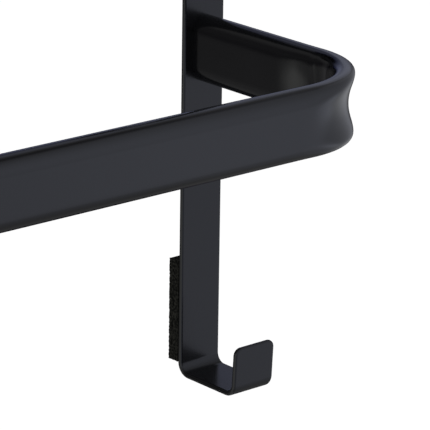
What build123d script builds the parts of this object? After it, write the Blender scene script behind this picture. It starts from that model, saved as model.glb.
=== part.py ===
from build123d import *
import os
from math import cos, isclose, radians, sin, sqrt, tan

# Over-door towel rack: a bent flat-oval tube, carried by two flat steel straps that hang over a door.
# Millimetres. +X runs along the bar, +Y goes back over the door and +Z is up.
# The origin is on the door's top edge, midway between the straps and between the door's two faces.

# Straps, bent from flat strip
strap_spacing = 580.0  # from centre to centre
strap_width = 19.0
strap_thickness = 2.0
strap_bend_radius = 3.5  # on the inside of every bend
strap_corner_radius = 3.0  # of the two corners at each end
strap_edge_break = 0.6  # of the rim, all round

# Over-door hooks, at the straps' upper ends
door_thickness = 35.0
door_clearance = 1.0
tab_drop = 45.0  # from the door's top edge to the tab's end

# J-hooks, at the straps' lower ends
hook_drop = 126.4  # from the bar's centre line to the hook's underside
hook_depth = 28.5  # inside, along the floor
hook_height = 19.8  # from the underside to the lip's top
lip_lean = 3.0  # degrees forward

# Towel bar, bent from flat-oval tube
bar_height = 25.0
bar_depth = 12.0
bar_wall = 1.0
bar_drop = 115.0  # from the door's top edge to the bar's centre line
bar_reach = 101.0  # from the straps' front faces to the bar's front face
bend_radius = 34.0  # of the tube's centre line
bend_sink = 4.0  # of the outer wall, halfway round a bend
bend_press = 2.4  # of the inner wall, outwards, halfway round a bend
bend_fullness = 0.1  # of the shoulders beside the sunk wall, for each millimetre of sink

# Foam pads, between the straps and the door
pad_thickness = 5.8
pad_edge_radius = 0.8
lower_pad_length = 40.0
lower_pad_rise = 5.3  # from the J-hook's underside
hook_pad_length = 30.0
hook_pad_rise = 5.0  # from the tab's end

# Places that follow from the sizes
door_gap = door_thickness + door_clearance + 2 * pad_thickness
strap_back = -door_gap / 2
strap_front = strap_back - strap_thickness
tab_face = door_gap / 2
hook_underside = -bar_drop - hook_drop
bar_line = strap_front - bar_reach + bar_depth / 2

# Handle length, as a share of the radius, that makes a Bezier curve a quarter circle
ROUND_HANDLE = 0.5523

# How far the middle of a square bend moves in for each unit that its radius grows
MITRE_GAIN = sqrt(2) - 1


def is_across(edge):
    """A straight edge through the strip's thickness."""
    return edge.geom_type == GeomType.LINE and isclose(edge.length, strap_thickness, abs_tol=1e-4)


def is_fold(edge):
    """A line across the strip's whole width, where a bend begins or ends."""
    return edge.geom_type == GeomType.LINE and isclose(edge.length, strap_width, abs_tol=1e-4)


def strap():
    """One strip, from the lip of the J-hook up the door and over it to the tab."""
    half = strap_thickness / 2
    middle = strap_front + half
    floor = hook_underside + half
    lip_foot = strap_front - hook_depth - half
    lip_rise = hook_height - half
    line = FilletPolyline(
        (lip_foot - lip_rise * tan(radians(lip_lean)), floor + lip_rise),
        (lip_foot, floor),
        (middle, floor),
        (middle, half),
        (tab_face + half, half),
        (tab_face + half, -tab_drop),
        radius=strap_bend_radius + half,
    )
    side_view = Plane.YZ * trace(line, line_width=strap_thickness)
    strip = extrude(side_view, amount=strap_width / 2, both=True)
    strip = fillet(strip.edges().filter_by(is_across), strap_corner_radius)
    rim = strip.edges().filter_by(lambda edge: not is_across(edge) and not is_fold(edge))
    return chamfer(rim, strap_edge_break)


def plain_section(inset):
    """The flat oval of the straight tube; an inset gives the bore."""
    top = bar_height / 2 - inset
    side = bar_depth / 2 - inset
    flat = top - side
    outline = [
        CenterArc((0, flat), side, 90, -90),
        Line((side, flat), (side, -flat)),
        CenterArc((0, -flat), side, 0, -90),
        CenterArc((0, -flat), side, -90, -90),
        Line((-side, -flat), (-side, flat)),
        CenterArc((0, flat), side, 180, -90),
    ]
    return make_face(outline)


def bent_section(inset, sink, press):
    """The oval within a bend, with its sunk outer wall towards +x and its pressed inner wall towards -x."""
    top = bar_height / 2 - inset
    side = bar_depth / 2 - inset
    flat = top - side
    full_handle = ROUND_HANDLE * side * (1 + bend_fullness * sink)
    shoulder = side - sink * (1 - (flat / top) ** 2)
    slope = 2 * sink * flat / top**2
    trough = 2 * (side - sink) - shoulder
    inner = side - press
    inner_flat = top - inner
    crown = [(0, top), (full_handle, top), (shoulder + slope * full_handle, flat + full_handle), (shoulder, flat)]
    lower_crown = [(x, -y) for x, y in reversed(crown)]
    outline = [
        Bezier(*crown),
        Bezier((shoulder, flat), (trough, 0), (shoulder, -flat)),
        Bezier(*lower_crown),
        CenterArc((0, -inner_flat), inner, -90, -90),
        Line((-inner, -inner_flat), (-inner, inner_flat)),
        CenterArc((0, inner_flat), inner, 180, -90),
    ]
    return make_face(outline)


def wall_distance(point, outward, centre, radius):
    """From a point on the tube's line out to a wall that is an arc about a centre."""
    offset = point - centre
    along = offset.dot(outward)
    return sqrt(along**2 - offset.dot(offset) + radius**2) - along


def tube_bend(run_in, inset):
    """The right-hand bend, with the stretch of straight tube on each side that its sink reaches.

    The outer wall is an arc of a larger radius than the tube's own, and the inner wall of a smaller one.
    """
    pivot = Vector(strap_spacing / 2 - bend_radius, bar_line + bend_radius)
    half_depth = bar_depth / 2
    outer_centre = pivot + Vector(-run_in, run_in)
    outer_radius = bend_radius + half_depth + run_in
    hold_back = bend_press / MITRE_GAIN
    inner_centre = pivot + Vector(hold_back, -hold_back)
    inner_radius = bend_radius - half_depth - hold_back
    turns = [0, 22.5, 45, 67.5, 90]
    steps = [(0, run_in)] + [(angle, 0) for angle in turns] + [(90, -run_in)]
    sections = []
    for angle, short_of_bend in steps:
        outward = Vector(cos(radians(angle)), -sin(radians(angle)))
        heading = Vector(-sin(radians(angle)), -cos(radians(angle)))
        point = pivot + outward * bend_radius - heading * short_of_bend
        section = plain_section(inset)
        if short_of_bend == 0:
            sink = half_depth - wall_distance(point, outward, outer_centre, outer_radius)
            press = half_depth + wall_distance(point, outward, inner_centre, inner_radius)
            section = bent_section(inset, sink, max(press, 0))
        plane = Plane(point - Vector(0, 0, bar_drop), x_dir=outward, z_dir=heading)
        sections.append(plane * section)
    return loft(sections)


def tube(inset):
    """The whole bent form: two arms, two bends and the front run between them."""
    run_in = bend_sink / MITRE_GAIN
    section = plain_section(inset)
    arm_end = bar_line + bend_radius + run_in
    arm_start = Plane((strap_spacing / 2, strap_front, -bar_drop), x_dir=(1, 0, 0), z_dir=(0, -1, 0))
    arm = extrude(arm_start * section, amount=strap_front - arm_end)
    half_run = strap_spacing / 2 - bend_radius - run_in
    run_middle = Plane((0, bar_line, -bar_drop), x_dir=(0, -1, 0), z_dir=(-1, 0, 0))
    run = extrude(run_middle * section, amount=half_run, both=True)
    corner = arm + tube_bend(run_in, inset)
    return corner + run + mirror(corner, about=Plane.YZ)


def towel_bar():
    """The tube, open at both ends, which the straps' front faces close."""
    return tube(0) - tube(bar_wall)


def pad(glued_face, out, bottom, length):
    """One block of foam on a strap, standing out from its glued face."""
    block = Pos(0, glued_face + out * pad_thickness / 2, bottom + length / 2) * Box(
        strap_width, pad_thickness, length
    )
    free_face = block.faces().filter_by(Axis.Y).sort_by(Axis.Y)[0 if out < 0 else -1]
    return fillet(free_face.edges(), pad_edge_radius)


sides = {"left": Pos(-strap_spacing / 2, 0, 0), "right": Pos(strap_spacing / 2, 0, 0)}
pieces = {"towel_bar": towel_bar()}
for side_name, place in sides.items():
    pieces[side_name + "_strap"] = place * strap()
    pieces[side_name + "_lower_pad"] = place * pad(
        strap_back, 1, hook_underside + lower_pad_rise, lower_pad_length
    )
    pieces[side_name + "_hook_pad"] = place * pad(
        tab_face, -1, hook_pad_rise - tab_drop, hook_pad_length
    )

os.makedirs("parts", exist_ok=True)
for name, piece in pieces.items():
    export_step(piece, f"parts/{name}.step")
    print(name, len(piece.solids()), "solid", round(piece.volume / 1000, 2), "cm3")
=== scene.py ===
# %% [markdown]
# # An over-door towel rack in black paint
# Two flat steel straps hang over a door. They carry one bar of flat-oval tube and end below in a hook, and
# blocks of foam keep the steel off the door. The sizes and places were settled in the CAD model, so this
# script loads that model as a fixed frame and gives it its looks: rounded rims, paint, foam and light.

# %% Load the fixed frame
from math import cos, pi, radians, sin, sqrt, tan

import bmesh
import bpy
from mathutils import Matrix, Vector, noise


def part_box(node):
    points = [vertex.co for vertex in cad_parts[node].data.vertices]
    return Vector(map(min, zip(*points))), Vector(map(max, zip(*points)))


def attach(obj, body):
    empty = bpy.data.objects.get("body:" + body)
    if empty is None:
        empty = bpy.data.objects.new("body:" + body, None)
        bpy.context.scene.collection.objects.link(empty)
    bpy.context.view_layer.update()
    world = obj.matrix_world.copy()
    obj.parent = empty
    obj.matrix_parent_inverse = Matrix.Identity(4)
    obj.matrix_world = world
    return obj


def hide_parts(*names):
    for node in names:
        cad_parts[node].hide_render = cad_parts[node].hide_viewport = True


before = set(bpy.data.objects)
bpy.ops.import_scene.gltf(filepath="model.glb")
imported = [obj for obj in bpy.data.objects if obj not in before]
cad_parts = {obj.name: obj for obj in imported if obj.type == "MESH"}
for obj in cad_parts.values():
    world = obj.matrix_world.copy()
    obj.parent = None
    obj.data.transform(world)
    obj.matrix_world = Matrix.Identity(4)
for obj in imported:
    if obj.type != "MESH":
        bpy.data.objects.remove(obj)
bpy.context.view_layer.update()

print("CAD nodes:", ", ".join(sorted(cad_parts)))

# %% [markdown]
# ## Places that every piece needs
# A piece of this script goes where its CAD node is, so its place is read from the node's box and not
# typed in. Only what a box can't tell, such as a bend's radius, is written down further on, in metres.

# %% Read the places from the frame
bar_low, bar_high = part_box("towel_bar")
strap_low, strap_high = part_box("right_strap")
strap_line = (strap_low.x + strap_high.x) / 2
strap_width = strap_high.x - strap_low.x
strap_front = bar_high.y
bar_level = (bar_low.z + bar_high.z) / 2
bar_height = bar_high.z - bar_low.z
print(f"straps {2 * strap_line:.3f} m apart, bar {bar_height * 1000:.1f} mm high at {bar_level:.3f} m")

# %% [markdown]
# ## The camera
# The photograph looks at the right-hand end of the rack from the front left and a little above, from far
# away with a long lens, so parallel edges stay nearly parallel. A camera could be given a place and a
# rotation. Three angles and a distance from one point on the strap are easier to understand and adjust.
# These were fitted to the edges of the bar, its arm and the strap.

# %% Set up the camera
view_turn = radians(40.898)
view_drop = radians(18.059)
view_roll = radians(0.864)
view_distance = 1.1502
look_at = Vector((strap_line + 0.00646, strap_front, bar_level - 0.06575))

camera_data = bpy.data.cameras.new("camera")
camera_data.sensor_width = 36.0
camera_data.lens = 257.9
camera = bpy.data.objects.new("camera", camera_data)
bpy.context.scene.collection.objects.link(camera)
aim = Matrix.Rotation(-view_turn, 4, "Z") @ Matrix.Rotation(pi / 2 - view_drop, 4, "X")
roll = Matrix.Rotation(view_roll, 4, "Z")
step_back = Matrix.Translation((0, 0, view_distance))
camera.matrix_world = Matrix.Translation(look_at) @ aim @ roll @ step_back
bpy.context.scene.camera = camera
bpy.context.scene.view_settings.view_transform = "Standard"
print("camera at", [round(x, 3) for x in camera.matrix_world.translation])

# %% [markdown]
# ## Finished pieces
# Every piece ends the same way: its bmesh becomes a mesh with smooth shading, and the object rides on the
# rack's one body and stands for its CAD node. A second helper measures how well a piece fills its node's
# box, because a piece that has drifted by half a millimetre can't be seen but is still wrong.


# %% Turn a bmesh into a piece of the rack
def finish_piece(bm, name, node, material):
    mesh = bpy.data.meshes.new(name)
    bm.to_mesh(mesh)
    bm.free()
    mesh.polygons.foreach_set("use_smooth", [True] * len(mesh.polygons))
    mesh.materials.append(material)
    piece = bpy.data.objects.new(name, mesh)
    bpy.context.scene.collection.objects.link(piece)
    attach(piece, "root")
    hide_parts(node)
    return piece


def report_fit(piece, node):
    """Prints how far a piece's box is from its node's, in millimetres."""
    corners = [Vector(corner) for corner in piece.bound_box]
    low = Vector(min(corner[axis] for corner in corners) for axis in range(3))
    high = Vector(max(corner[axis] for corner in corners) for axis in range(3))
    node_low, node_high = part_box(node)
    off = [f"{1000 * x:+.2f}" for x in (*(low - node_low), *(high - node_high))]
    print(piece.name, len(piece.data.polygons), "faces, off its node by", " ".join(off), "mm")


# %% [markdown]
# ## Black gloss paint
# The metal is sprayed with a deep black gloss paint. Such paint has almost no colour of its own: what is
# seen on it is the reflection of the room. It could be one black with one roughness, but a sprayed coat is
# never quite even, so tone and roughness drift over a few centimetres, and a faint orange peel, the small
# waves that drying paint leaves, breaks up the reflections' edges. The tube mirrors the room more sharply
# than the strip does, so the same mix is made twice.


# %% Mix the paint
def add_node(tree, kind, **settings):
    """Adds a node and sets its inputs, or where it has no such input, its properties."""
    node = tree.nodes.new(kind)
    for key, value in settings.items():
        if key in node.inputs:
            node.inputs[key].default_value = value
        else:
            setattr(node, key, value)
    return node


darkest_paint = (0.0020, 0.0020, 0.0024, 1)
lightest_paint = (0.0036, 0.0036, 0.0043, 1)


def black_gloss_paint(name, gloss, smoothest, roughest):
    material = bpy.data.materials.new(name)
    material.use_nodes = True
    tree = material.node_tree
    link = tree.links.new
    shader = tree.nodes["Principled BSDF"]
    shader.inputs["IOR"].default_value = 1.5
    shader.inputs["Specular IOR Level"].default_value = gloss
    place = add_node(tree, "ShaderNodeTexCoord").outputs["Object"]

    drift = add_node(tree, "ShaderNodeTexNoise", Scale=45.0, Detail=3.0)
    link(place, drift.inputs["Vector"])
    tone = add_node(tree, "ShaderNodeValToRGB")
    tone.color_ramp.elements[0].color = darkest_paint
    tone.color_ramp.elements[1].color = lightest_paint
    link(drift.outputs["Fac"], tone.inputs["Fac"])
    link(tone.outputs["Color"], shader.inputs["Base Color"])

    polish = add_node(tree, "ShaderNodeMapRange")
    polish.inputs["To Min"].default_value = smoothest
    polish.inputs["To Max"].default_value = roughest
    link(drift.outputs["Fac"], polish.inputs["Value"])
    link(polish.outputs["Result"], shader.inputs["Roughness"])

    peel = add_node(tree, "ShaderNodeTexNoise", Scale=900.0, Detail=2.0)
    link(place, peel.inputs["Vector"])
    bump = add_node(tree, "ShaderNodeBump", Strength=0.08, Distance=0.0001)
    link(peel.outputs["Fac"], bump.inputs["Height"])
    link(bump.outputs["Normal"], shader.inputs["Normal"])
    return material


strap_paint = black_gloss_paint("strap_paint", gloss=0.40, smoothest=0.20, roughest=0.27)
bar_paint = black_gloss_paint("bar_paint", gloss=0.50, smoothest=0.12, roughest=0.18)
print("each paint has", len(bar_paint.node_tree.nodes), "nodes")

# %% [markdown]
# ## The straps
# A strap is cut from steel strip, its rim is rolled round, and it is bent four times: twice below, into the
# floor and the lip of the hook, and twice above, over the door and down behind it. A profile swept along a
# path would give the same form, but with a sharp rim and square ends. So the strap is made as in the shop,
# as a flat blank that is bevelled first and folded afterwards. First come the lengths of the blank.

# %% Measure the blank
strap_thickness = 0.002
fold_radius = 0.0045
corner_radius = 0.003
rim_radius = 0.00095
hook_depth = 0.0285
hook_height = 0.0198
tab_drop = 0.045
lip_lean = radians(3)

strap_middle = strap_front + strap_thickness / 2
floor_level = strap_low.z + strap_thickness / 2
roof_level = strap_high.z - strap_thickness / 2
tab_line = strap_high.y - strap_thickness / 2
lip_foot = strap_front - hook_depth - strap_thickness / 2
lip_turn = pi / 2 - lip_lean

# A straight stretch is shorter than the distance between its corners by a tangent at each fold
square_tangent = fold_radius * tan(pi / 4)
lip_tangent = fold_radius * tan(lip_turn / 2)
lip_length = (strap_low.z + hook_height - floor_level) / cos(lip_lean) - lip_tangent
floor_length = strap_middle - lip_foot - square_tangent - lip_tangent
roof_length = tab_line - strap_middle - 2 * square_tangent
tab_length = roof_level + tab_drop - square_tangent

# Heights on the upright blank at which each fold begins and at which the blank ends
square_arc = fold_radius * pi / 2
lip_arc = fold_radius * lip_turn
lower_fold = floor_level + square_tangent
upper_fold = roof_level - square_tangent
lip_fold = lower_fold - square_arc - floor_length
tab_fold = upper_fold + square_arc + roof_length
blank_bottom = lip_fold - lip_arc - lip_length
blank_top = tab_fold + square_arc + tab_length
print(f"blank {1000 * (blank_top - blank_bottom):.1f} mm long and {1000 * strap_width:.1f} mm wide")

# %% [markdown]
# ## The flat blank
# A cube is scaled to the blank. One bevel on the four edges through its thickness rounds the corners, and a
# second one on the whole outline rounds the rim, which is where a gloss coat catches its thin lines of light.

# %% Cut the flat blank
strip = bmesh.new()
bmesh.ops.create_cube(strip, size=1)
bmesh.ops.scale(strip, vec=(strap_width, strap_thickness, blank_top - blank_bottom), verts=strip.verts)
bmesh.ops.translate(strip, vec=(0, strap_middle, (blank_top + blank_bottom) / 2), verts=strip.verts)


def goes_through(edge):
    """True for an edge that crosses the strip's thickness."""
    return abs(edge.verts[0].co.y - edge.verts[1].co.y) > strap_thickness / 2


corners = [edge for edge in strip.edges if goes_through(edge)]
bmesh.ops.bevel(
    strip, geom=corners, offset=corner_radius, offset_type="OFFSET",
    affect="EDGES", segments=10, profile=0.5, material=-1,
)
rim = [edge for edge in strip.edges if not goes_through(edge)]
bmesh.ops.bevel(
    strip, geom=rim, offset=rim_radius, offset_type="OFFSET",
    affect="EDGES", segments=6, profile=0.5, material=-1,
)
print("blank has", len(strip.faces), "faces")

# %% [markdown]
# ## The folds
# Level cuts are laid across each stretch that will bend. A fold then turns every point that lies beyond its
# start: a point within the fold turns part of the way, and all that lies past it turns by the whole angle.
# The two outer folds are made before the two inner ones, while the blank on both sides is still straight.

# %% Lay cuts where the strip will bend
fold_rows = 14


def cut_rows(bm, start, length):
    """Lays level cuts across the strip, from one height over the length that a fold takes up."""
    for row in range(fold_rows + 1):
        level = Vector((0, 0, start + length * row / fold_rows))
        whole = bm.verts[:] + bm.edges[:] + bm.faces[:]
        bmesh.ops.bisect_plane(bm, geom=whole, dist=1e-7, plane_co=level, plane_no=(0, 0, 1))


cut_rows(strip, lip_fold, -lip_arc)
cut_rows(strip, lower_fold, -square_arc)
cut_rows(strip, upper_fold, square_arc)
cut_rows(strip, tab_fold, square_arc)
print("cut strip has", len(strip.faces), "faces")


# %% Fold the strip
def fold(bm, start, turn, down, forward):
    """Bends all that lies beyond a height, below it or above it, forwards or backwards."""
    way = -1 if down else 1
    axis_line = strap_middle - fold_radius if forward else strap_middle + fold_radius
    axis = Vector((0, axis_line, start))
    sense = 1 if down != forward else -1
    for vert in bm.verts:
        beyond = (vert.co.z - start) * way
        if beyond > 0:
            used = min(beyond, fold_radius * turn)
            vert.co.z -= used * way
            swing = Matrix.Rotation(sense * used / fold_radius, 3, "X")
            vert.co = axis + swing @ (vert.co - axis)


fold(strip, lip_fold, lip_turn, down=True, forward=True)
fold(strip, lower_fold, pi / 2, down=True, forward=True)
fold(strip, tab_fold, pi / 2, down=False, forward=False)
fold(strip, upper_fold, pi / 2, down=False, forward=False)
lip_reach = strap_front - min(vert.co.y for vert in strip.verts)
print(f"the lip reaches {1000 * lip_reach:.1f} mm forward of the strap")

# %% [markdown]
# ## One strap at each end
# Both straps are the same strip, so the folded shape is copied and moved into place. A Weighted Normal
# modifier lets the large flat faces keep their own direction, so that a glossy flat mirrors like a flat and
# only the narrow rim turns the light.

# %% Hang the straps
for side, place in (("right", strap_line), ("left", -strap_line)):
    bm = strip.copy()
    bmesh.ops.translate(bm, vec=(place, 0, 0), verts=bm.verts)
    strap = finish_piece(bm, side + "_bent_strap", side + "_strap", strap_paint)
    strap.modifiers.new("flat_faces_stay_flat", "WEIGHTED_NORMAL")
    report_fit(strap, side + "_strap")
strip.free()

# %% [markdown]
# ## The towel bar
# The bar is one length of flat-oval tube, bent twice without a filling. Its section could be a curve swept
# along a path, but the walls have to change shape within the bend, so the tube is built as a mesh whose
# rings can be moved later. The oval is a rectangle whose corners are bevelled until they meet. It is pushed
# along the arm, spun round the corner and pushed on to the middle of the rack.

# %% Measure the tube
tube_depth = 0.012
tube_wall = 0.001
bend_radius = 0.034

half_depth = tube_depth / 2
half_height = bar_height / 2
half_flat = half_height - half_depth
bar_line = bar_low.y + half_depth
pivot = Vector((strap_line - bend_radius, bar_line + bend_radius, bar_level))
print("the bend turns about", [round(x, 4) for x in pivot])

# %% Draw the oval
round_rows = 12
flat_rows = 14


def flat_oval(bm):
    """The tube's outline at the end of the right arm, as a ring of edges."""
    bmesh.ops.create_grid(bm, x_segments=1, y_segments=1, size=0.5)
    bmesh.ops.scale(bm, vec=(tube_depth, bar_height, 1), verts=bm.verts)
    bmesh.ops.bevel(
        bm, geom=bm.verts[:], offset=half_depth, offset_type="ABSOLUTE",
        affect="VERTICES", segments=round_rows, profile=0.5, material=-1,
    )
    bmesh.ops.remove_doubles(bm, verts=bm.verts, dist=1e-6)
    bmesh.ops.delete(bm, geom=bm.faces[:], context="FACES_ONLY")
    flats = [edge for edge in bm.edges if edge.calc_length() > half_flat]
    bmesh.ops.subdivide_edges(bm, edges=flats, cuts=flat_rows - 1)
    upright = Matrix.Rotation(pi / 2, 3, "X")
    bmesh.ops.rotate(bm, cent=(0, 0, 0), matrix=upright, verts=bm.verts)
    bmesh.ops.translate(bm, vec=(strap_line, strap_front, bar_level), verts=bm.verts)
    return bm.edges[:]


tube = bmesh.new()
ring = flat_oval(tube)
print("the oval has", len(ring), "edges")

# %% Push and spin it along the tube's line
arm_rows = 32
run_in_rows = 16
bend_rows = 60
middle_rows = 4
bend_sink = 0.004

# The outer wall's sink reaches this far into the straight tube on each side of the bend
mitre_gain = sqrt(2) - 1
run_in = bend_sink / mitre_gain


def push(bm, ring, move, rows):
    """Extrudes a ring of edges by a move, in equal rows, and gives the ring at its far end."""
    for _ in range(rows):
        made = bmesh.ops.extrude_edge_only(bm, edges=ring)["geom"]
        ends = [x for x in made if isinstance(x, bmesh.types.BMVert)]
        ring = [x for x in made if isinstance(x, bmesh.types.BMEdge) and all(v in ends for v in x.verts)]
        bmesh.ops.translate(bm, vec=move / rows, verts=ends)
    return ring


arm_length = strap_front - pivot.y - run_in
ring = push(tube, ring, Vector((0, -arm_length, 0)), arm_rows)
ring = push(tube, ring, Vector((0, -run_in, 0)), run_in_rows)
turned = bmesh.ops.spin(
    tube, geom=ring, cent=pivot, axis=(0, 0, 1), angle=-pi / 2, steps=bend_rows, use_duplicate=False
)
ring = [x for x in turned["geom_last"] if isinstance(x, bmesh.types.BMEdge)]
ring = push(tube, ring, Vector((-run_in, 0, 0)), run_in_rows)
ring = push(tube, ring, Vector((-arm_length, 0, 0)), arm_rows)
push(tube, ring, Vector((run_in + arm_length - pivot.x, 0, 0)), middle_rows)
bmesh.ops.remove_doubles(tube, verts=tube.verts, dist=1e-7)
print("half the tube has", len(tube.faces), "faces")

# %% [markdown]
# ## Walls that give way
# A hollow tube bent without a filling gives way. Its outer wall is stretched and sinks into a shallow
# trough, its inner wall is pressed outwards, and the inner flat is left with a shallow dish round each end
# of the bend. That waist is what the eye notices at the corner. A lattice could squeeze it in, but the
# real walls follow plain curves, so each ring's give is worked out from them: the sunk wall is an arc of a
# larger radius than the bend's own, the pressed wall one of a smaller radius.

# %% Work out how far the walls give way
bend_press = 0.0024
dish_depth = 0.0016

# Where the dish lies, in metres past the nearer end of the bend
dish_start = -0.016
dish_deepest = 0.004
dish_end = 0.024


def along_tube(point):
    """The nearest place on the tube's line, its outward side and its distance past the bend's near end."""
    offset = point - pivot
    if offset.x <= 0:
        outward = Vector((0, -1, 0))
        return outward * bend_radius + Vector((offset.x, 0, 0)), outward, offset.x
    if offset.y > 0:
        outward = Vector((1, 0, 0))
        return outward * bend_radius + Vector((0, offset.y, 0)), outward, -offset.y
    outward = Vector((offset.x, offset.y, 0)).normalized()
    turn = outward.angle(Vector((1, 0, 0)))
    return outward * bend_radius, outward, min(turn, pi / 2 - turn) * bend_radius


def wall_at(middle, outward, centre, radius):
    """From the tube's line outwards to a wall that is an arc about a centre."""
    offset = middle - centre
    reach = offset.dot(outward)
    return sqrt(reach**2 - offset.length_squared + radius**2) - reach


def ease(share):
    """A step from 0 to 1 whose slope grows and shrinks evenly."""
    share = min(max(share, 0.0), 1.0)
    if share < 0.5:
        return 2 * share**2
    return 1 - 2 * (1 - share) ** 2


def give_way(middle, outward, past):
    """How far the outer wall sinks, the inner wall is pressed outwards, and its flat is dished."""
    sink = 0.0
    press = 0.0
    if past > -run_in:
        sunk_centre = Vector((-run_in, run_in, 0))
        sink = half_depth - wall_at(middle, outward, sunk_centre, bend_radius + half_depth + run_in)
    if past >= 0:
        hold_back = bend_press / mitre_gain
        pressed_centre = Vector((hold_back, -hold_back, 0))
        pressed = wall_at(middle, outward, pressed_centre, bend_radius - half_depth - hold_back)
        press = max(half_depth + pressed, 0.0)
    deepens = ease((past - dish_start) / (dish_deepest - dish_start))
    fades = ease((dish_end - past) / (dish_end - dish_deepest))
    return sink, press, dish_depth * deepens * fades


halfway = Vector((1, -1, 0)).normalized()
gives = give_way(halfway * bend_radius, halfway, bend_radius * pi / 4)
print("halfway round: sink {:.2f}, press {:.2f}, dish {:.2f} mm".format(*(1000 * x for x in gives)))

# %% [markdown]
# ## The oval within a bend
# Where the outer wall sinks, the metal beside it is pushed up, so the oval's crown becomes fuller and runs
# down into the trough in one curve. That curve is a Bezier curve between the oval's top and the shoulder of
# the trough. The inner half stays an oval, only narrower. Each point of the plain tube is moved onto this.

# %% Shape the oval of a bend
# The share by which the crown's handles lengthen, for each metre of sink
bend_fullness = 100.0

# Handle length, as a share of the radius, that makes a Bezier curve a quarter circle
round_handle = 0.5523


def crown_curve(sink, share):
    """A point on the curve from the top of the oval to the shoulder of its sunk wall."""
    shoulder = half_depth - sink * (1 - (half_flat / half_height) ** 2)
    slope = 2 * sink * half_flat / half_height**2
    handle = round_handle * half_depth * (1 + bend_fullness * sink)
    ends = (
        Vector((0, half_height)),
        Vector((handle, half_height)),
        Vector((shoulder + slope * handle, half_flat + handle)),
        Vector((shoulder, half_flat)),
    )
    rest = 1 - share
    weights = (rest**3, 3 * rest**2 * share, 3 * rest * share**2, share**3)
    return sum((end * weight for end, weight in zip(ends, weights)), Vector((0, 0)))


def bent_oval(out, up, sink, press, dish):
    """Moves a point of the plain oval onto the oval of a bend."""
    level = abs(up)
    above = 1 if up >= 0 else -1
    if out > 0 and level <= half_flat:
        return half_depth - sink * (1 - (up / half_height) ** 2), up
    if out > 0:
        from_top = Vector((out, level - half_flat)).angle(Vector((0, 1)))
        point = crown_curve(sink, from_top / (pi / 2))
        return point.x, above * point.y
    inner = half_depth - press
    inner_flat = half_height - inner
    hollow = dish * (1 - (up / half_height) ** 2) ** 2
    if level <= half_flat:
        return hollow - inner, up * inner_flat / half_flat
    shrink = inner / half_depth
    return hollow + out * shrink, above * (inner_flat + (level - half_flat) * shrink)


moved = 0
for vert in tube.verts:
    middle, outward, past = along_tube(vert.co)
    sink, press, dish = give_way(middle, outward, past)
    if sink > 0 or press > 0 or dish > 0:
        local = vert.co - pivot - middle
        out, up = bent_oval(local.dot(outward), local.z, sink, press, dish)
        vert.co = pivot + middle + outward * out + Vector((0, 0, up))
        moved += 1
print("moved", moved, "of", len(tube.verts), "points")

# %% [markdown]
# ## The whole tube and its wall
# The other half is a mirror image, joined at the rack's middle. The normals are made to agree before a
# Solidify modifier gives the wall its thickness inwards, so that the outside keeps its size. The rings at
# the two open ends are marked sharp, because the cut end of a tube is a crisp edge.

# %% Mirror the tube and thicken its wall
whole = tube.verts[:] + tube.edges[:] + tube.faces[:]
bmesh.ops.mirror(tube, geom=whole, axis="X", merge_dist=1e-6)
bmesh.ops.recalc_face_normals(tube, faces=tube.faces)
for edge in tube.edges:
    edge.smooth = not edge.is_boundary
bar = finish_piece(tube, "bent_tube", "towel_bar", bar_paint)
wall = bar.modifiers.new("tube_wall", "SOLIDIFY")
wall.thickness = tube_wall
wall.offset = -1
report_fit(bar, "towel_bar")

# %% [markdown]
# ## Foam pads
# Blocks of black foam are glued to the back of each strap, one at its foot and one on its tab, so that the
# steel never touches the door. Foam is a mass of bubbles. A blade that cuts it from a sheet opens those at
# the surface, and the cut faces are left full of small pits. The bubbles could be faked with a texture, but
# then the block's outline would stay ruler-straight, so here each pit is pressed into a fine mesh.

# %% Cut a block of foam
foam_mesh = 0.00033
foam_edge_radius = 0.0008


def runs_along(edge, axis):
    """True for an edge that is parallel to an axis."""
    way = edge.verts[1].co - edge.verts[0].co
    return abs(way[axis]) > 0.999 * way.length


def foam_block(low, high, free_level):
    """A block in the node's box, with the free face's edges rounded and a fine grid on every side."""
    bm = bmesh.new()
    bmesh.ops.create_cube(bm, size=1)
    bmesh.ops.scale(bm, vec=high - low, verts=bm.verts)
    bmesh.ops.translate(bm, vec=(low + high) / 2, verts=bm.verts)
    rim = [edge for edge in bm.edges if all(abs(v.co.y - free_level) < 1e-6 for v in edge.verts)]
    bmesh.ops.bevel(
        bm, geom=rim, offset=foam_edge_radius, offset_type="OFFSET",
        affect="EDGES", segments=4, profile=0.5, material=-1,
    )
    for axis in range(3):
        along = [edge for edge in bm.edges if runs_along(edge, axis)]
        longest = max(edge.calc_length() for edge in along)
        across = [edge for edge in along if edge.calc_length() > longest / 2]
        bmesh.ops.subdivide_edges(bm, edges=across, cuts=round(longest / foam_mesh) - 1)
    return bm


print(f"foam is meshed every {1000 * foam_mesh:.2f} mm")

# %% Open its cells
bubble_spacing = 0.0009
bubble_reach = 0.62
pit_depth = 0.00022


def open_cells(bm, glued_level):
    """Presses a pit into the surface at every bubble, except on the glued face."""
    pits = bm.verts.layers.float.new("pit")
    bm.normal_update()
    moves = []
    for vert in bm.verts:
        from_bubble = noise.voronoi(vert.co / bubble_spacing)[0][0]
        pit = max(1 - (from_bubble / bubble_reach) ** 2, 0)
        vert[pits] = pit
        if abs(vert.co.y - glued_level) > 1e-6:
            moves.append((vert, vert.normal * pit * pit_depth))
    for vert, move in moves:
        vert.co -= move


print(f"bubbles {1000 * bubble_spacing:.1f} mm apart are cut {1000 * pit_depth:.2f} mm deep")
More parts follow.
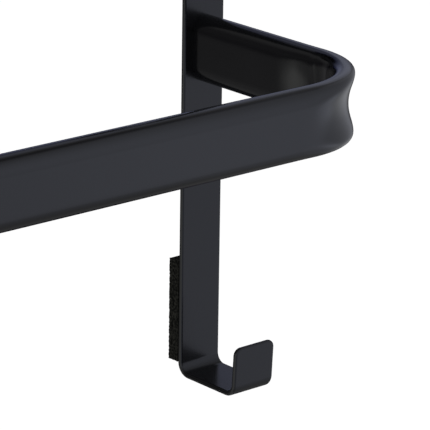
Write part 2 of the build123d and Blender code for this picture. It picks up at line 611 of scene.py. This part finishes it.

# %% [markdown]
# ## The foam's colour and its painted shade
# Cut foam is a dull, slightly olive black. The pits between its cells are painted far darker than the rims:
# a painted shade for the light that gets lost in a pit. Each point of the mesh remembers how deep its pit
# is, and that depth picks between the foam's colour and the painted shade, so the shade follows the shape.
# A fine noise on top stands for the smallest bubbles.

# %% Mix the foam
cell_rim = (0.0182, 0.0180, 0.0148, 1)
# The colour at the bottom of a pit is painted shade, not the foam's own colour
pit_painted_shade = (0.0008, 0.0008, 0.0007, 1)


def black_foam():
    material = bpy.data.materials.new("black_foam")
    material.use_nodes = True
    tree = material.node_tree
    link = tree.links.new
    shader = tree.nodes["Principled BSDF"]
    shader.inputs["Roughness"].default_value = 0.9
    shader.inputs["IOR"].default_value = 1.35
    shader.inputs["Specular IOR Level"].default_value = 0.15
    place = add_node(tree, "ShaderNodeTexCoord").outputs["Object"]
    pit = add_node(tree, "ShaderNodeAttribute", attribute_name="pit")
    # Pit depth mixes the foam's colour at the rims with the painted shade in the pits
    tone = add_node(tree, "ShaderNodeValToRGB")
    tone.color_ramp.elements[0].color = cell_rim
    tone.color_ramp.elements[1].color = pit_painted_shade
    link(pit.outputs["Fac"], tone.inputs["Fac"])

    specks = add_node(tree, "ShaderNodeTexNoise", Scale=1300.0, Detail=4.0)
    link(place, specks.inputs["Vector"])
    shade = add_node(tree, "ShaderNodeMapRange")
    shade.inputs["From Min"].default_value = 0.35
    shade.inputs["From Max"].default_value = 0.65
    shade.inputs["To Min"].default_value = 0.05
    shade.inputs["To Max"].default_value = 2.0
    link(specks.outputs["Fac"], shade.inputs["Value"])
    colour = add_node(tree, "ShaderNodeVectorMath", operation="SCALE")
    link(tone.outputs["Color"], colour.inputs[0])
    link(shade.outputs["Result"], colour.inputs["Scale"])
    link(colour.outputs["Vector"], shader.inputs["Base Color"])

    bump = add_node(tree, "ShaderNodeBump", Strength=0.5, Distance=0.0002)
    link(specks.outputs["Fac"], bump.inputs["Height"])
    link(bump.outputs["Normal"], shader.inputs["Normal"])
    return material


foam = black_foam()
print("foam has", len(foam.node_tree.nodes), "nodes")

# %% Glue on the pads
for side in ("right", "left"):
    for spot in ("lower", "hook"):
        node = f"{side}_{spot}_pad"
        low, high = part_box(node)
        free_level, glued_level = (high.y, low.y) if spot == "lower" else (low.y, high.y)
        bm = foam_block(low, high, free_level)
        open_cells(bm, glued_level)
        pad = finish_piece(bm, f"{side}_{spot}_foam", node, foam)
        report_fit(pad, node)

# %% [markdown]
# ## The floor
# The rack hangs above a plain pale floor that shows white to the camera and still takes its shadow. More
# light would turn the floor white too, but it would also wash out the paint. So the floor glows a little,
# and only for the rays that show a background.

# %% Lay the floor
floor_drop = 0.55
floor_radius = 12.0
floor_glow = 0.6


def seen_in_background(tree):
    """1 for the rays that show the background: straight from the camera, mirrored or through glass."""
    path = add_node(tree, "ShaderNodeLightPath")
    seen = path.outputs["Is Camera Ray"]
    for kind in ("Is Glossy Ray", "Is Transmission Ray"):
        either = add_node(tree, "ShaderNodeMath", operation="MAXIMUM")
        tree.links.new(seen, either.inputs[0])
        tree.links.new(path.outputs[kind], either.inputs[1])
        seen = either.outputs[0]
    return seen


def pale_floor():
    material = bpy.data.materials.new("pale_floor")
    material.use_nodes = True
    tree = material.node_tree
    shader = tree.nodes["Principled BSDF"]
    shader.inputs["Base Color"].default_value = (0.8, 0.8, 0.8, 1)
    shader.inputs["Roughness"].default_value = 0.8
    shader.inputs["Specular IOR Level"].default_value = 0.0
    shader.inputs["Emission Color"].default_value = (1, 1, 1, 1)
    lift = add_node(tree, "ShaderNodeMath", operation="MULTIPLY")
    tree.links.new(seen_in_background(tree), lift.inputs[0])
    lift.inputs[1].default_value = floor_glow
    tree.links.new(lift.outputs[0], shader.inputs["Emission Strength"])
    return material


def stage_piece(bm, name, material):
    mesh = bpy.data.meshes.new(name)
    bm.to_mesh(mesh)
    bm.free()
    mesh.materials.append(material)
    piece = bpy.data.objects.new(name, mesh)
    bpy.context.scene.collection.objects.link(piece)
    return piece


bm = bmesh.new()
bmesh.ops.create_circle(bm, cap_ends=True, segments=64, radius=floor_radius)
bmesh.ops.translate(bm, vec=(0, 0, -floor_drop), verts=bm.verts)
floor = stage_piece(bm, "floor", pale_floor())
print("floor", floor_drop, "m below the door's top edge")

# %% [markdown]
# ## The studio dome
# Gloss black is lit by what it mirrors, so the room round it matters more than the lamps. A photographer
# puts white and black boards round such a piece until the highlights run well along its edges. Here a
# dome that only mirrored rays can see stands for that room. Soft patches of light and dark are painted on
# it: walls, tables, lamps, a window, and black boards, whose light is negative and takes light away.
# The dome stands in front of the white background, so the paint mirrors the dome and not the white. Its
# patches were fitted to the brightness of the paint in the photograph and then adjusted, so they
# suit that view best, and from behind the rack looks dark.
#
# A patch is given by its turn to the right of the front and its rise above level, both in degrees, then by
# its height against its width, by how far from its middle the full light reaches and where it has faded
# away, on a dome of radius 1, and by its light and its tint.

# %% Plan the patches of light
cool = (0.90, 0.96, 1.18)
plain = (0.99, 1.01, 0.98)
patches = {
    "front_wall": (-3, 11, 1.1, 0.25, 1.55, 0.60, cool),
    "front_table": (45, -22, 0.35, 0.44, 0.76, 0.12, cool),
    "right_wall": (76, 5, 1.2, 0.70, 0.85, 0.19, cool),
    "right_shelf": (68, -21, 0.35, 0.08, 0.32, 0.20, cool),
    "right_table": (105, -27, 0.35, 0.0, 0.75, 0.28, plain),
    "back_right_wall": (147, 10, 0.75, 0.0, 0.51, 0.51, cool),
    "back_right_lamp": (130, 23, 1.25, 0.10, 0.18, 0.29, cool),
    "back_right_shelf": (144, 39, 0.75, 0.11, 0.42, 0.31, cool),
    "left_window": (-85, -12, 0.85, 0.58, 0.84, 0.68, plain),
    "left_lamp": (-132, 8, 1.7, 0.04, 0.41, 0.25, plain),
    "back_floor": (-157, -61, 2.3, 0.50, 0.75, 0.44, plain),
    "back_ceiling": (-170, 34, 1.35, 0.12, 0.76, 0.43, plain),
    "dark_beam": (104, 56, 2.5, 0.04, 0.19, -0.13, plain),
    "dark_back": (-173, -5, 1.35, 0.54, 1.27, -0.46, plain),
    "dark_panel": (172, 30, 0.67, 0.25, 0.34, -0.38, plain),
    "dark_front": (-27, -19, 0.35, 0.26, 0.94, -0.25, plain),
}
print("the dome has", len(patches), "patches")

# %% Paint the dome
dome_radius = 2.0
dome_grey = Vector((0.205, 0.205, 0.21))

# Halfway along the right arm, in the middle of what the photograph shows
dome_middle = Vector((strap_line, strap_front - 0.05, bar_level))


def heading(turn, rise):
    """The direction at a turn to the right of the front and a rise above level, in degrees."""
    level = cos(radians(rise))
    return Vector((sin(radians(turn)) * level, -cos(radians(turn)) * level, sin(radians(rise))))


def vector_step(tree, operation, first, second=(0, 0, 0)):
    """A step of vector maths on what comes in and a fixed second vector."""
    step = add_node(tree, "ShaderNodeVectorMath", operation=operation)
    tree.links.new(first, step.inputs[0])
    step.inputs[1].default_value = second
    return step


def painted_dome():
    material = bpy.data.materials.new("painted_dome")
    material.use_nodes = True
    tree = material.node_tree
    link = tree.links.new
    tree.nodes.remove(tree.nodes["Principled BSDF"])
    place = add_node(tree, "ShaderNodeTexCoord").outputs["Object"]
    way = vector_step(tree, "NORMALIZE", place).outputs["Vector"]
    grey = add_node(tree, "ShaderNodeCombineXYZ", X=dome_grey.x, Y=dome_grey.y, Z=dome_grey.z)
    total = grey.outputs["Vector"]
    for turn, rise, stretch, core, edge, light, tint in patches.values():
        off = vector_step(tree, "SUBTRACT", way, heading(turn, rise)).outputs["Vector"]
        off = vector_step(tree, "MULTIPLY", off, (1, 1, 1 / stretch)).outputs["Vector"]
        share = add_node(tree, "ShaderNodeMapRange", interpolation_type="SMOOTHSTEP")
        share.inputs["From Min"].default_value = edge
        share.inputs["From Max"].default_value = core
        link(vector_step(tree, "LENGTH", off).outputs["Value"], share.inputs["Value"])
        glow = add_node(tree, "ShaderNodeVectorMath", operation="MULTIPLY_ADD")
        link(share.outputs["Result"], glow.inputs[0])
        glow.inputs[1].default_value = [light * x for x in tint]
        link(total, glow.inputs[2])
        total = glow.outputs["Vector"]
    lit = vector_step(tree, "MAXIMUM", total, (0, 0, 0)).outputs["Vector"]
    shine = add_node(tree, "ShaderNodeEmission")
    link(lit, shine.inputs["Color"])
    link(shine.outputs[0], tree.nodes["Material Output"].inputs["Surface"])
    return material


bm = bmesh.new()
bmesh.ops.create_uvsphere(bm, u_segments=96, v_segments=48, radius=dome_radius)
dome = stage_piece(bm, "dome", painted_dome())
dome.location = dome_middle
print("dome round", [round(x, 3) for x in dome.location])

# %% Show the dome to mirrored rays only, and keep the floor from them
dome.visible_camera = False
dome.visible_diffuse = False
dome.visible_shadow = False
dome.visible_transmission = False
floor.visible_glossy = False
print("mirrored rays see the dome:", dome.visible_glossy)

# %% [markdown]
# ## The light itself
# A white sky gives an even light from all sides, and one soft box at the front right gives the foam and the
# floor's shadow a direction. The sky is set to half strength where it lights and to plain white where it is
# seen. The soft box isn't mirrored: its hard rectangle would show on the paint, and the dome has its place.

# %% Light the room
world = bpy.data.worlds.new("studio")
bpy.context.scene.world = world
world.use_nodes = True
tree = world.node_tree
sky = tree.nodes["Background"]
sky.inputs["Color"].default_value = (1, 1, 1, 1)
strength = add_node(tree, "ShaderNodeMapRange")
strength.inputs["To Min"].default_value = 0.5
strength.inputs["To Max"].default_value = 1.0
tree.links.new(seen_in_background(tree), strength.inputs["Value"])
tree.links.new(strength.outputs["Result"], sky.inputs["Strength"])

box_place = Vector((1.2, -1.4, 1.6))
box_target = Vector((0, -0.1, -0.15))
key_light = bpy.data.lights.new("soft_box", "AREA")
key_light.shape = "SQUARE"
key_light.size = 1.2
key_light.energy = 6
soft_box = bpy.data.objects.new("soft_box", key_light)
bpy.context.scene.collection.objects.link(soft_box)
soft_box.location = box_place
soft_box.rotation_euler = (box_target - box_place).to_track_quat("-Z", "Y").to_euler()
soft_box.visible_glossy = False
print(f"soft box {(box_target - box_place).length:.2f} m from the rack")
